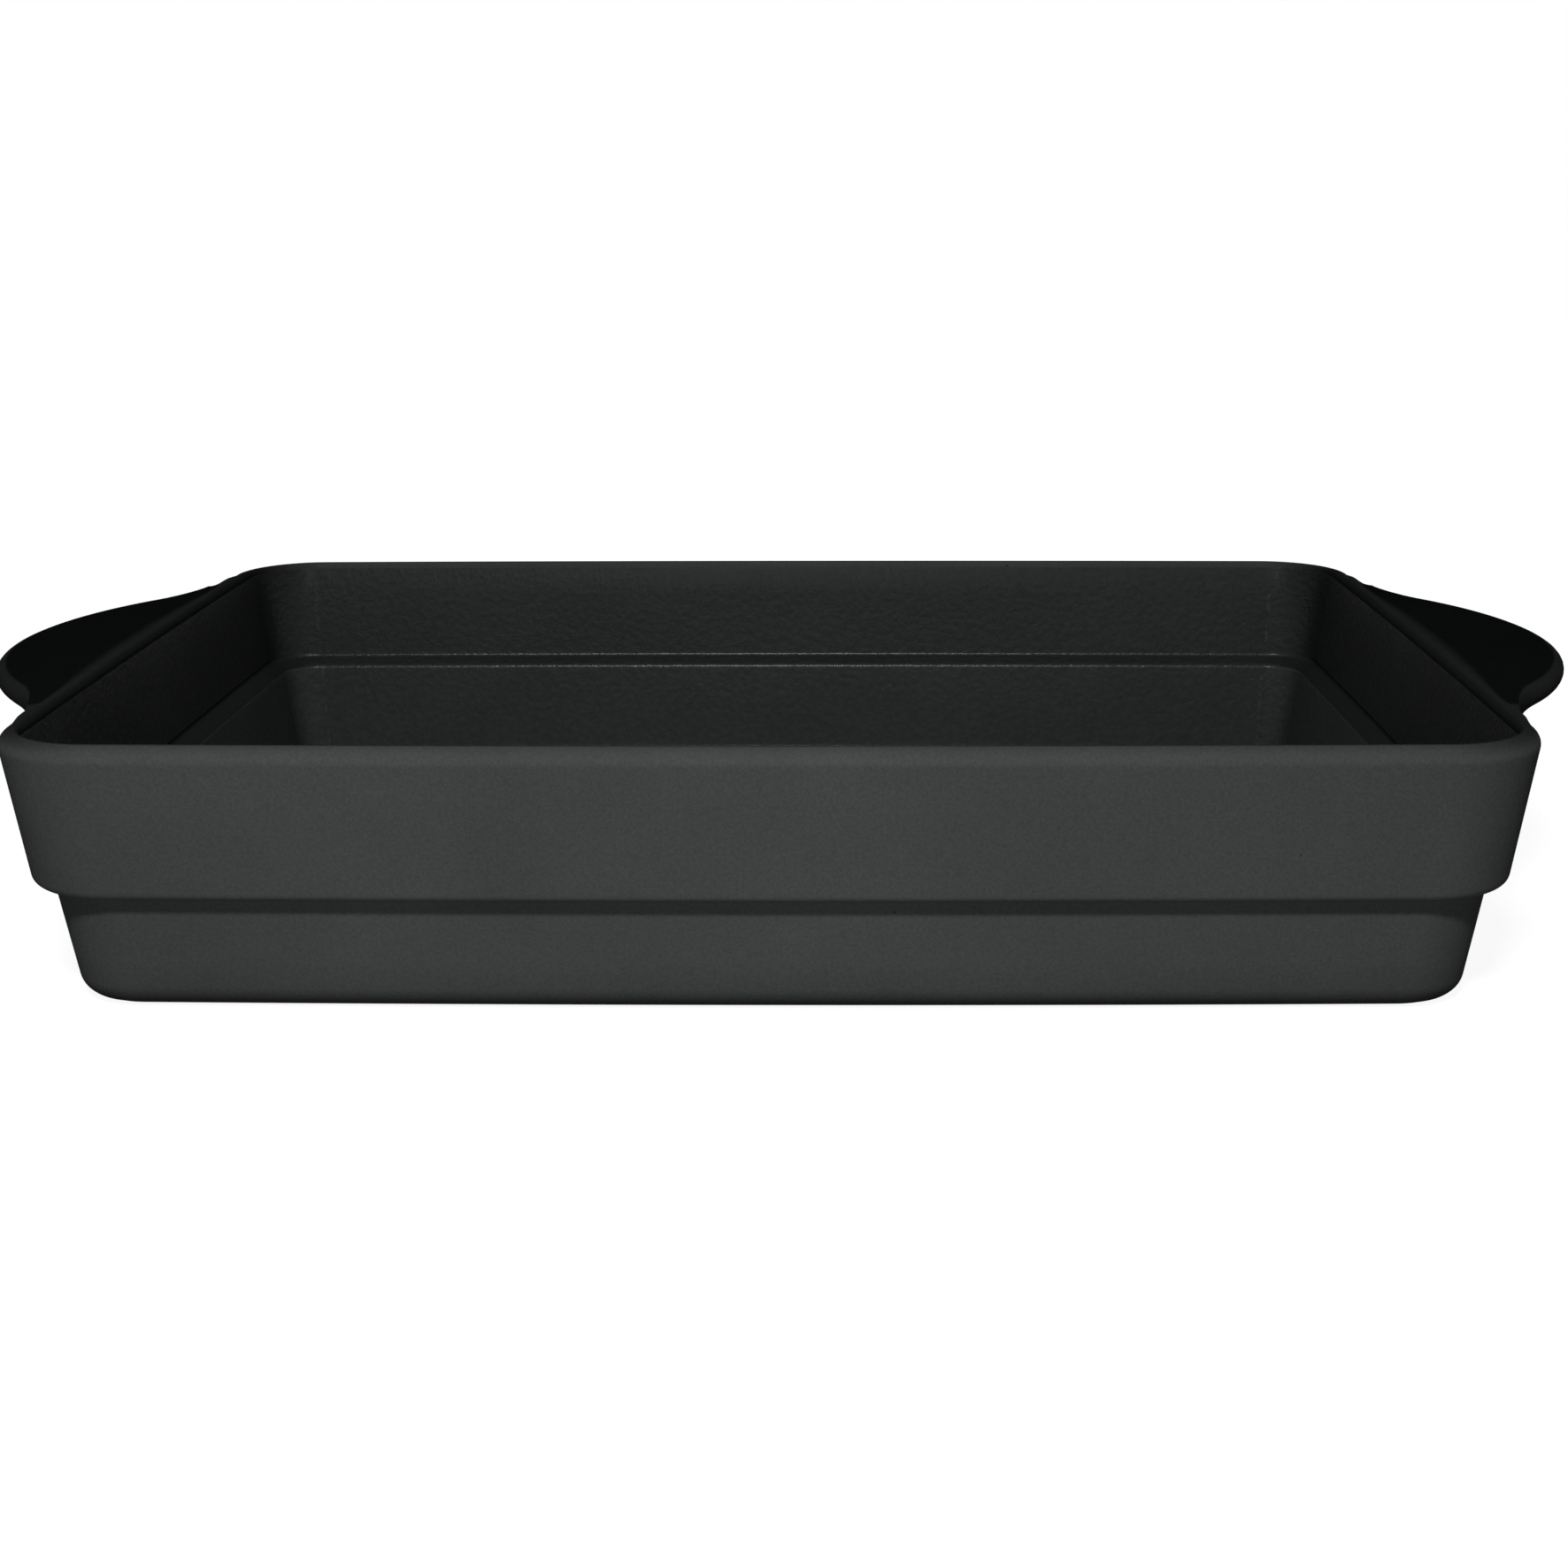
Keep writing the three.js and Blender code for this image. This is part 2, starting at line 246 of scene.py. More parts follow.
class GlazeColours(PropertyGroup):
    """Colours of the glazes and the clay"""

    outside: FloatVectorProperty(
        name="Outside", description="Matt charcoal glaze on the outside of the wall",
        default=linear("#404241"), subtype="COLOR", min=0, max=1)
    # Painted shade: near black mixed into either glaze on the lugs, rim, inside walls, ledges and
    # foot.
    painted_shade: FloatVectorProperty(
        name="Painted shade", description="Either glaze where it lies thick, as on the lugs",
        default=linear("#0E0F0F"), subtype="COLOR", min=0, max=1)
    liner: FloatVectorProperty(
        name="Liner", description="Satin black glaze on the inside",
        default=linear("#2A2C2B"), subtype="COLOR", min=0, max=1)
    # Painted light: the pale grey mixed in on the roll of the step and as painted glints inside.
    edge: FloatVectorProperty(
        name="Painted light", description="Either glaze where it is pulled thin over an edge",
        default=linear("#5E605F"), subtype="COLOR", min=0, max=1)
    clay: FloatVectorProperty(
        name="Clay", description="Bare stoneware of the foot",
        default=linear("#7C7266"), subtype="COLOR", min=0, max=1)
    slip: FloatVectorProperty(
        name="Slip", description="Slip that holds the lugs",
        default=linear("#71675C"), subtype="COLOR", min=0, max=1)


class StageSettings(PropertyGroup):
    """Camera and light"""

    lens: FloatProperty(
        name="Lens", description="Focal length of the camera in millimetres", default=53.837)
    key_power: FloatProperty(
        name="Key light", description="Power of the light above the front of the dish",
        default=1.84, unit="POWER")
    front_power: FloatProperty(
        name="Front light", description="Power of the low light in front of the dish",
        default=0.37, unit="POWER")
    side_power: FloatProperty(
        name="Side lights", description="Power of the narrow light at each side",
        default=0.045, unit="POWER")
    low_back_power: FloatProperty(
        name="Low back lights", description="Power of each low light behind the dish",
        default=7, unit="POWER")
    high_back_power: FloatProperty(
        name="High back light", description="Power of the soft light above the back of the dish",
        default=5, unit="POWER")
    sky: FloatProperty(
        name="Room light", description="Strength of the light from all round", default=0.015)


def cross(a, b):
    """Cross product of two flat vectors."""
    return a.x * b.y - a.y * b.x


def smooth(share):
    """Eases a share in and out, and holds it between 0 and 1."""
    share = min(max(share, 0), 1)
    return share * share * (3 - 2 * share)


def between(pair, share):
    """The value at a share of the way between two."""
    return pair[0] + (pair[1] - pair[0]) * share


def heading(across, up):
    """Unit vector that points this way in the section."""
    return Vector((across, up)).normalized()


def faces_of(dish, inset):
    """Straight faces of the section, clay on the left, each with its outset and height, its heading
    and its round to the next."""
    upper, lower = math.tan(dish.upper_draft), math.tan(dish.lower_draft)
    wall_top = RIM_ROUND * math.tan(dish.upper_draft / 2 + math.pi / 4) - RIM_ROUND
    lower_top = wall_top - upper * (dish.height - dish.step_height) - dish.step_depth
    foot = lower_top - lower * dish.step_height
    ledge = wall_top - upper * (dish.height - dish.ledge_height) - dish.wall
    faces = {
        "foot": ((foot, 0), (1, 0), FOOT_ROUND),
        "lower": ((lower_top, dish.step_height), (lower, 1), STEP_ROOT),
        "step": ((lower_top, dish.step_height), (1, math.tan(STEP_SLOPE)), STEP_ROLL),
        "upper": ((wall_top, dish.height), (upper, 1), RIM_ROUND),
        "top": ((0, dish.height), (-1, 0), LIP_ROUND),
        "lip": ((wall_top - dish.wall, dish.height), (-upper, -1), LEDGE_ROOT),
        "ledge": ((ledge, dish.ledge_height), (-1, -math.tan(LEDGE_SLOPE)), LEDGE_EDGE),
        "inside": ((lower_top - dish.wall, dish.step_height), (-lower, -1), FLOOR_ROUND),
        "floor": ((0, dish.floor), (-1, 0), 0),
    }
    moved = {}
    for name, (point, way, corner) in faces.items():
        onward = heading(*way)
        bare = 0 if name == "foot" else inset
        moved[name] = (Vector(point) + Vector((-onward.y, onward.x)) * bare, onward, corner)
    return moved


def pick(faces, names):
    """The named faces of a section, in order."""
    return [faces[name] for name in names.split()]


def meeting(face, after):
    """Where two faces of the section would meet in a sharp corner."""
    return face[0] + face[1] * (cross(after[0] - face[0], after[1]) / cross(face[1], after[1]))


def walk(faces, inset=0):
    """Follows faces one after another and rounds the corners between them."""
    points = []
    for face, after in zip(faces, faces[1:]):
        meet = meeting(face, after)
        (_, way, corner), (_, onward, _) = face, after
        turn = math.atan2(cross(way, onward), way.dot(onward))
        side = math.copysign(1, turn)
        radius = corner - inset * side
        first = meet - way * radius * math.tan(abs(turn) / 2)
        centre = first + Vector((-way.y, way.x)) * radius * side
        arm = first - centre
        steps = max(ARC_LEAST, math.ceil(abs(turn) * radius / ARC_PITCH))
        for step in range(steps + 1):
            angle = turn * step / steps
            points.append(centre + Vector((
                arm.x * math.cos(angle) - arm.y * math.sin(angle),
                arm.x * math.sin(angle) + arm.y * math.cos(angle))))
    return points


def close_rows(points):
    """Adds rows on the long straight stretches, close to their ends, so their shading stays flat."""
    rows = [points[0]]
    for start, end in zip(points, points[1:]):
        gap = end - start
        if gap.length > 4 * SUPPORT:
            count = math.ceil(gap.length / ROW_PITCH)
            rows.append(start + gap * (SUPPORT / gap.length))
            rows += [start + gap * (i / count) for i in range(1, count)]
            rows.append(end - gap * (SUPPORT / gap.length))
        rows.append(end)
    return rows


def along(path, share):
    """The point at a share of the length of a path."""
    left = share * sum((b - a).length for a, b in zip(path, path[1:]))
    for a, b in zip(path, path[1:]):
        gap = (b - a).length
        if left <= gap:
            return a.lerp(b, left / gap)
        left -= gap
    return path[-1]


def outline(dish, outset, pinch=0):
    """Points round the dish this far outside the line of the rim, with corners this much tighter."""
    corner = max(dish.rim_corner + CORNER_TAPER * outset - pinch, SHARPEST_CORNER)
    half_x = dish.rim_length / 2 + outset - SHORT_CAMBER - corner
    half_y = dish.rim_width / 2 + outset - LONG_CAMBER - corner
    centres = [Vector((half_x, half_y)), Vector((-half_x, half_y)),
               Vector((-half_x, -half_y)), Vector((half_x, -half_y))]
    points = []
    for quarter, centre in enumerate(centres):
        for step in range(CORNER_STEPS):
            angle = math.pi / 2 * (quarter + step / CORNER_STEPS)
            points.append(centre + corner * Vector((math.cos(angle), math.sin(angle))))
        long_side = quarter % 2 == 0
        out = Vector((0, 1)) if long_side else Vector((1, 0))
        out *= 1 if quarter in (0, 3) else -1
        camber, steps = (LONG_CAMBER, LONG_STEPS) if long_side else (SHORT_CAMBER, SHORT_STEPS)
        after = centres[(quarter + 1) % 4]
        for step in range(steps):
            share = step / steps
            if long_side:
                share = (1 - math.cos(math.pi * share)) / 2
            bulge = 4 * camber * share * (1 - share)
            points.append(centre.lerp(after, share) + out * (corner + bulge))
    return points


def level(dish, row, pinch=0):
    """Places round the dish for one row of the section."""
    return [Vector((p.x, p.y, row.y)) for p in outline(dish, row.x, pinch)]


def inside_level(dish, row, inset=0):
    """Places round the inside, where the corners are tighter than outside."""
    pinch = INSIDE_PINCH * smooth((inset / 2 - row.x - PINCH_START) / PINCH_WIDTH)
    return level(dish, row, pinch)


def wall_line(dish, faces):
    """Gives the function for how far the upper wall stands outside the rim's line at a height."""
    corner, draft = faces["upper"][0], math.tan(dish.upper_draft)
    return lambda z: corner.x - draft * (corner.y - z)


def band_row(dish, lug, wall_at):
    """The row of the wall just below the fillets of the lugs."""
    z = dish.height - lug.drop - lug.thickness - ROOT_FILLET
    return Vector((wall_at(z), z))


def on_short_side(dish, point):
    """Whether a point of the rim's line is on one of the sides that carry a lug."""
    return abs(point.x) > dish.rim_length / 2 - 2 * SHORT_CAMBER


def lug_edge(lug, dish, y):
    """Where the lug's edge is in plan at this distance along the side, and how far it leans there."""
    middle = dish.rim_length / 2 + lug.reach - lug.bow
    wall = dish.rim_length / 2 - SHORT_CAMBER
    reach = lug.bow + lug.sweep
    swing = math.acos((wall + lug.sweep - middle) / reach)
    root = reach * math.sin(swing)
    y = abs(y)
    if y >= root:
        return wall, 1
    if y < lug.bow * math.sin(swing):
        return middle + math.sqrt(lug.bow ** 2 - y ** 2), math.sqrt(1 - (y / lug.bow) ** 2)
    back = (root - y) / lug.sweep
    return wall + lug.sweep * (1 - math.sqrt(1 - back ** 2)), math.sqrt(1 - back ** 2)


def lug_section(dish, lug, wall_at, edge, lean):
    """Section through the lug at one place: fillet, underside, round edge and top, row by row."""
    top = dish.height - lug.drop
    bottom = top - lug.thickness
    middle = top - lug.thickness / 2
    reach = edge - wall_at(middle)
    nose = min(lug.thickness / 2 / lean, EDGE_SHARE * reach)
    fillet = min(ROOT_FILLET, reach - nose)
    fillet_rows, under_rows, edge_rows, top_rows, _ = [count for count, _ in LUG_ROWS]
    points = []
    for i in range(fillet_rows):
        angle = math.pi / 2 * i / fillet_rows
        z = bottom - ROOT_FILLET * (1 - math.sin(angle))
        points.append(Vector((wall_at(z) + fillet * (1 - math.cos(angle)), z)))
    start = wall_at(bottom) + fillet
    for i in range(under_rows):
        points.append(Vector((start + (edge - nose - start) * i / under_rows, bottom)))
    for i in range(edge_rows):
        angle = math.pi * (i / edge_rows - 0.5)
        points.append(Vector((
            edge - nose + nose * math.cos(angle), middle + lug.thickness / 2 * math.sin(angle))))
    for i in range(top_rows):
        points.append(Vector((edge - nose + (CROWN_START - edge + nose) * i / top_rows, top)))
    return points


def lug_sections(dish, lug, wall_at, rim_line):
    """For each column of the rings that crosses a lug, how far the lug reaches and its section."""
    sections = {}
    for column, point in enumerate(rim_line):
        edge, lean = lug_edge(lug, dish, point.y)
        reach = edge - abs(point.x)
        if on_short_side(dish, point) and reach > wall_at(dish.height):
            sections[column] = (reach, lug_section(dish, lug, wall_at, reach, lean))
    return sections


def root_swell(y):
    """How far the slip at the ends of a lug's root raises the rim's shoulder at this distance along
    the side."""
    (start, full), (end, last) = ROOT_SWELL_FROM, ROOT_SWELL_TO
    y = abs(y)
    return ROOT_SWELL * smooth((y - start) / (full - start)) * smooth((end - y) / (end - last))


def rim_share(dish, row):
    """How far up the rim's round a row lies."""
    return (row.y - dish.height + RIM_ROUND) / RIM_ROUND


def crest_shade(dish, row, short):
    """Painted shade over the rim's round and top, starting further up on the short sides."""
    start = between(CREST_STARTS, short)
    return between(CREST_SHADES, short) * smooth((rim_share(dish, row) - start) / (1 - start))


def foot_shade(row):
    """Painted shade on the glaze just above the foot, darkest at the bottom."""
    return FOOT_SHADE * max(1 - row.y / FOOT_SHADE_TOP, 0) ** 2


def ledge_share(row, high, low):
    """How far a row belongs to the ledge inside, between its upper and its lower corner."""
    return smooth(1 - max(row.y - high.y, low.y - row.y, 0) / LEDGE_BLEND)


def corner_nearness(row, corners, reach):
    """How near a row is to the corners, for the painted light along them."""
    return smooth(1 - min((row - corner).length for corner in corners) / reach)


def first_ring(bm, places):
    """Starts a surface with a closed ring of vertices."""
    ring = bmesh.ops.create_circle(bm, segments=len(places), radius=1)["verts"]
    for vert, place in zip(ring, places):
        vert.co = place
    return ring


def ring_edges(bm, ring):
    """Edges of a closed ring of vertices, in order."""
    return [bm.edges.get(pair) for pair in zip(ring, ring[1:] + ring[:1])]


def grow_ring(bm, ring, places, finishes=None):
    """Extrudes the open ring of a surface to new places, with a finish for each column."""
    grown = bmesh.ops.extrude_edge_only(bm, edges=ring_edges(bm, ring))["geom"]
    fresh = {item for item in grown if isinstance(item, bmesh.types.BMVert)}
    ahead = []
    for vert, place in zip(ring, places):
        after = next(e.other_vert(vert) for e in vert.link_edges if e.other_vert(vert) in fresh)
        after.co = place
        ahead.append(after)
    for edge, finish in zip(ring_edges(bm, ahead), finishes or []):
        for face in edge.link_faces:
            face.material_index = finish
    return ahead


def close_ring(bm, ring, finish=0):
    """Closes a ring with one flat face."""
    for face in bmesh.ops.edgeloop_fill(bm, edges=ring_edges(bm, ring))["faces"]:
        face.material_index = finish


def fix_order(bm):
    """Puts vertices and faces in order of place, because extruding gives them in no fixed order."""
    for items, key in ((bm.verts, lambda vert: vert.co[:]),
                       (bm.faces, lambda face: sorted(vert.index for vert in face.verts))):
        for index, item in enumerate(sorted(items, key=key)):
            item.index = index
        items.sort()


def make_piece(bm, name, materials, nodes):
    """Turns a finished bmesh into a piece of the object that stands for CAD nodes."""
    if any(not vert.link_faces for vert in bm.verts):
        raise RuntimeError(f"{name} has loose vertices")
    bmesh.ops.recalc_face_normals(bm, faces=bm.faces[:])
    for face in bm.faces:
        face.smooth = True
    fix_order(bm)
    mesh = bpy.data.meshes.new(name)
    bm.to_mesh(mesh)
    bm.free()
    piece = bpy.data.objects.new(name, mesh)
    bpy.context.scene.collection.objects.link(piece)
    for material in materials:
        mesh.materials.append(material)
    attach(piece, "root")
    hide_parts(*nodes)
    return piece


def add_node(tree, kind, values=None, links=None, **settings):
    """Adds a node with its settings, socket values and links."""
    made = tree.nodes.new(kind)
    for name, value in settings.items():
        setattr(made, name, value)
    for socket, value in (values or {}).items():
        made.inputs[socket].default_value = value
    for socket, source in (links or {}).items():
        tree.links.new(source, made.inputs[socket])
    return made


def new_material(name):
    """Starts a material with an empty node tree."""
    material = bpy.data.materials.new(name)
    material.use_nodes = True
    material.node_tree.nodes.clear()
    return material, material.node_tree


def per_metre(millimetres):
    """Pattern scale that repeats about once in this many millimetres."""
    return 1000 / millimetres


def matt_charcoal_glaze(colours):
    """Matt stoneware glaze, fired dry: a soft grey with a fine sandy grain and a few pinholes, with
    painted shade on the lugs, the rim and the foot and painted light on the roll of the step. The
    grain is drawn coarser than it is, so that it shows."""
    if "Matt charcoal glaze" in bpy.data.materials:
        return bpy.data.materials["Matt charcoal glaze"]
    material, tree = new_material("Matt charcoal glaze")
    place = add_node(tree, "ShaderNodeTexCoord").outputs["Object"]
    cloud = add_node(tree, "ShaderNodeTexNoise", {"Scale": per_metre(38), "Detail": 3},
                     {"Vector": place})
    grain = add_node(tree, "ShaderNodeTexNoise", {"Scale": per_metre(0.7), "Detail": 2},
                     {"Vector": place})
    pits = add_node(tree, "ShaderNodeTexVoronoi", {"Scale": per_metre(20)}, {"Vector": place})
    # Painted shade, mixed towards near black.
    shaded = add_node(tree, "ShaderNodeAttribute", attribute_name="painted_shade").outputs["Fac"]
    drift = add_node(tree, "ShaderNodeMapRange",
                     {"From Min": 0.3, "From Max": 0.7, "To Min": 0.94, "To Max": 1.06},
                     {"Value": cloud.outputs["Fac"]})
    shade = add_node(tree, "ShaderNodeMapRange",
                     {"From Min": 0.3, "From Max": 0.7, "To Min": 0.9, "To Max": 1.1},
                     {"Value": grain.outputs["Fac"]})
    tone = add_node(tree, "ShaderNodeMix",
                    {"A": [*colours.outside, 1], "B": [*colours.painted_shade, 1]},
                    {"Factor": shaded}, data_type="RGBA")
    # Painted light, mixed towards pale grey on the roll of the step.
    painted = add_node(tree, "ShaderNodeAttribute", attribute_name="lighter").outputs["Fac"]
    edge = add_node(tree, "ShaderNodeMix", {"B": [*colours.edge, 1]},
                    {"Factor": painted, "A": tone.outputs[2]}, data_type="RGBA")
    cloudy = add_node(tree, "ShaderNodeVectorMath", None,
                      {0: edge.outputs[2], 1: drift.outputs["Result"]}, operation="MULTIPLY")
    sandy = add_node(tree, "ShaderNodeVectorMath", None,
                     {0: cloudy.outputs["Vector"], 1: shade.outputs["Result"]},
                     operation="MULTIPLY")
    hole = add_node(tree, "ShaderNodeMapRange",
                    {"From Min": 0.012, "From Max": 0.022, "To Min": 0.4},
                    {"Value": pits.outputs["Distance"]})
    pitted = add_node(tree, "ShaderNodeVectorMath", None,
                      {0: sandy.outputs["Vector"], 1: hole.outputs["Result"]},
                      operation="MULTIPLY")
    height = add_node(tree, "ShaderNodeMath", {1: 0.5},
                      {0: grain.outputs["Fac"], 2: hole.outputs["Result"]},
                      operation="MULTIPLY_ADD")
    bump = add_node(tree, "ShaderNodeBump", {"Strength": 0.25, "Distance": 0.0002},
                    {"Height": height.outputs["Value"]})
    shader = add_node(tree, "ShaderNodeBsdfPrincipled",
                      {"Roughness": 0.7, "IOR": 1.5, "Specular IOR Level": 0},
                      {"Base Color": pitted.outputs["Vector"], "Normal": bump.outputs["Normal"]})
    add_node(tree, "ShaderNodeOutputMaterial", None, {"Surface": shader.outputs["BSDF"]})
    return material


def satin_black_glaze(colours):
    """Satin liner glaze, poured on heavily: near black, lightly pebbled like orange peel, with painted
    shade, most on the ledges and the short sides, and broken painted glints along its edges."""
    material, tree = new_material("Satin black liner glaze")
    place = add_node(tree, "ShaderNodeTexCoord").outputs["Object"]
    cloud = add_node(tree, "ShaderNodeTexNoise", {"Scale": per_metre(30), "Detail": 3},
                     {"Vector": place})
    peel = add_node(tree, "ShaderNodeTexNoise", {"Scale": per_metre(1.8), "Detail": 2},
                    {"Vector": place})
    drift = add_node(tree, "ShaderNodeMapRange",
                     {"From Min": 0.3, "From Max": 0.7, "To Min": 0.94, "To Max": 1.06},
                     {"Value": cloud.outputs["Fac"]})
    # Painted shade, mixed towards near black.
    shaded = add_node(tree, "ShaderNodeAttribute", attribute_name="painted_shade").outputs["Fac"]
    depth = add_node(tree, "ShaderNodeMix",
                     {"A": [*colours.liner, 1], "B": [*colours.painted_shade, 1]},
                     {"Factor": shaded}, data_type="RGBA")
    pebble = add_node(tree, "ShaderNodeMapRange",
                      {"From Min": 0.35, "From Max": 0.65, "To Min": 0.92, "To Max": 1.08},
                      {"Value": peel.outputs["Fac"]})
    cloudy = add_node(tree, "ShaderNodeVectorMath", None,
                      {0: drift.outputs["Result"], 1: depth.outputs[2]}, operation="MULTIPLY")
    tone = add_node(tree, "ShaderNodeVectorMath", None,
                    {0: cloudy.outputs["Vector"], 1: pebble.outputs["Result"]},
                    operation="MULTIPLY")
    gloss = add_node(tree, "ShaderNodeMapRange", {"To Min": 0.26, "To Max": 0.34},
                     {"Value": cloud.outputs["Fac"]})
    # Painted glints: the pale grey, broken up by noise, along the lip, the ledge and the upright
    # corners.
    painted = add_node(tree, "ShaderNodeAttribute", attribute_name="lighter").outputs["Fac"]
    glint = add_node(tree, "ShaderNodeTexNoise", {"Scale": per_metre(1.3), "Detail": 1},
                     {"Vector": place})
    beads = add_node(tree, "ShaderNodeMapRange", {"From Min": 0.48, "From Max": 0.6},
                     {"Value": glint.outputs["Fac"]})
    broken = add_node(tree, "ShaderNodeMath", None, {0: painted, 1: beads.outputs["Result"]},
                      operation="MULTIPLY")
    edge = add_node(tree, "ShaderNodeMix", {"B": [*colours.edge, 1]},
                    {"Factor": broken.outputs["Value"], "A": tone.outputs["Vector"]},
                    data_type="RGBA")
    bump = add_node(tree, "ShaderNodeBump", {"Strength": 0.55, "Distance": 0.0003},
                    {"Height": peel.outputs["Fac"]})
    shader = add_node(tree, "ShaderNodeBsdfPrincipled", {"IOR": 1.5, "Specular IOR Level": 0.1},
                      {"Base Color": edge.outputs[2], "Roughness": gloss.outputs["Result"],
                       "Normal": bump.outputs["Normal"]})
    add_node(tree, "ShaderNodeOutputMaterial", None, {"Surface": shader.outputs["BSDF"]})
    return material


def bare_stoneware(name, colour):
    """Unglazed stoneware, wiped with a sponge: dry, sandy, with iron specks."""
    if name in bpy.data.materials:
        return bpy.data.materials[name]
    material, tree = new_material(name)
    place = add_node(tree, "ShaderNodeTexCoord").outputs["Object"]
    sand = add_node(tree, "ShaderNodeTexNoise", {"Scale": per_metre(1.2), "Detail": 4},
                    {"Vector": place})
    iron = add_node(tree, "ShaderNodeTexVoronoi", {"Scale": per_metre(5)}, {"Vector": place})
    grit = add_node(tree, "ShaderNodeMapRange",
                    {"From Min": 0.3, "From Max": 0.7, "To Min": 0.8, "To Max": 1.2},
                    {"Value": sand.outputs["Fac"]})
    clay = add_node(tree, "ShaderNodeVectorMath", {1: tuple(colour)},
                    {0: grit.outputs["Result"]}, operation="MULTIPLY")
    spot = add_node(tree, "ShaderNodeMapRange",
                    {"From Min": 0.06, "From Max": 0.12, "To Min": 0.35},
                    {"Value": iron.outputs["Distance"]})
    fleck = add_node(tree, "ShaderNodeVectorMath", None,
                     {0: clay.outputs["Vector"], 1: spot.outputs["Result"]},
                     operation="MULTIPLY")
    bump = add_node(tree, "ShaderNodeBump", {"Strength": 0.5, "Distance": 0.0003},
                    {"Height": sand.outputs["Fac"]})
    shader = add_node(tree, "ShaderNodeBsdfPrincipled",
                      {"Roughness": 0.9, "Specular IOR Level": 0.2},
                      {"Base Color": fleck.outputs["Vector"], "Normal": bump.outputs["Normal"]})
    add_node(tree, "ShaderNodeOutputMaterial", None, {"Surface": shader.outputs["BSDF"]})
    return material


class TERRINE_OT_clay_body(Operator):
    """Make the clay dish under the glaze, with its bare foot ring"""

    bl_idname = "terrine.clay_body"
    bl_label = "Clay body"

    def execute(self, context):
        dish = context.scene.terrine_dish
        faces = faces_of(dish, UNDER_GLAZE)
        recess = faces["foot"][0].x - FOOT_FLAT
        under = walk([
            (Vector((recess, BASE_RECESS + UNDER_GLAZE)), heading(1, 0), RECESS_ROOT),
            (Vector((recess, 0)), heading(0, -1), FOOT_EDGE),
            faces["foot"]])
        outer = walk(pick(faces, "foot lower step upper top"), UNDER_GLAZE)
        inner = walk(pick(faces, "top lip ledge inside floor"), UNDER_GLAZE)
        bm = bmesh.new()
        rows = close_rows(under + outer)
        start = ring = first_ring(bm, level(dish, rows[0]))
        for row in rows[1:]:
            ring = grow_ring(bm, ring, level(dish, row))
        for row in close_rows(inner):
            ring = grow_ring(bm, ring, inside_level(dish, row, UNDER_GLAZE))
        close_ring(bm, ring)
        close_ring(bm, start)
        clay = bare_stoneware("Bare stoneware", context.scene.terrine_glaze.clay)
        make_piece(bm, "stoneware_body", [clay], ["dish_body"])
        return {"FINISHED"}


def coat_outside(bm, dish, lug, faces):
    """Starts the coat at its wiped edge and grows it up the outside to just below the lugs."""
    painted_shade, lighter = bm.verts.layers.float["painted_shade"], bm.verts.layers.float["lighter"]
    rows = [p for p in walk(pick(faces, "foot lower step upper")) if p.y >= dish.glaze_line]
    rows = close_rows(rows + [band_row(dish, lug, wall_line(dish, faces))])
    roll = meeting(faces["step"], faces["upper"])
    ring = first_ring(bm, level(dish, rows[0]))
    for row in rows[:-1]:
        if row != rows[0]:
            ring = grow_ring(bm, ring, level(dish, row))
        # Painted shade just above the foot and painted light on the roll of the step.
        for vert in ring:
            vert[painted_shade] = foot_shade(row)
            vert[lighter] = ROLL_PAINTED_LIGHT * corner_nearness(row, [roll], ROLL_REACH)
    return ring


def coat_rim(bm, ring, dish, lug, faces, rim_line, short_share):
    """Grows the coat round the lugs, and between them up the wall, to the top of the rim."""
    painted_shade = bm.verts.layers.float["painted_shade"]
    wall_at = wall_line(dish, faces)
    rim = [band_row(dish, lug, wall_at)] + walk(pick(faces, "upper top"))
    sections = lug_sections(dish, lug, wall_at, rim_line)
    swells = {column: root_swell(point.y) for column, point in enumerate(rim_line)
              if on_short_side(dish, point) and root_swell(point.y) > 0}
    begin, place_on_lug = 0, 0
    for part, (count, share) in enumerate(LUG_ROWS):
        for i in range(count):
            row = along(rim, begin + (share - begin) * i / count)
            places = level(dish, row)
            shades = [crest_shade(dish, row, short) for short in short_share]
            # Painted shade on the lug's fillet, underside, edge and top.
            if part < len(LUG_SHADES):
                for column, (reach, section) in sections.items():
                    out, far = rim_line[column], section[place_on_lug]
                    away = Vector((out.x + far.x * math.copysign(1, out.x), out.y, far.y))
                    rise = smooth((reach - wall_at(dish.height)) / LUG_RISE)
                    places[column] = places[column].lerp(away, rise)
                    shades[column] += rise * (LUG_SHADES[part] - shades[column])
            start, full = SWELL_RISE
            grown = smooth((rim_share(dish, row) - start) / (full - start))
            for column, swell in swells.items():
                across, up = SWELL_WAY
                way = Vector((math.copysign(across, rim_line[column].x), 0, up))
                places[column] += way * swell * grown
                places[column].z = min(places[column].z, dish.height)
            ring = grow_ring(bm, ring, places)
            for vert, shade in zip(ring, shades):
                vert[painted_shade] = shade
            place_on_lug += 1
        begin = share
    return ring


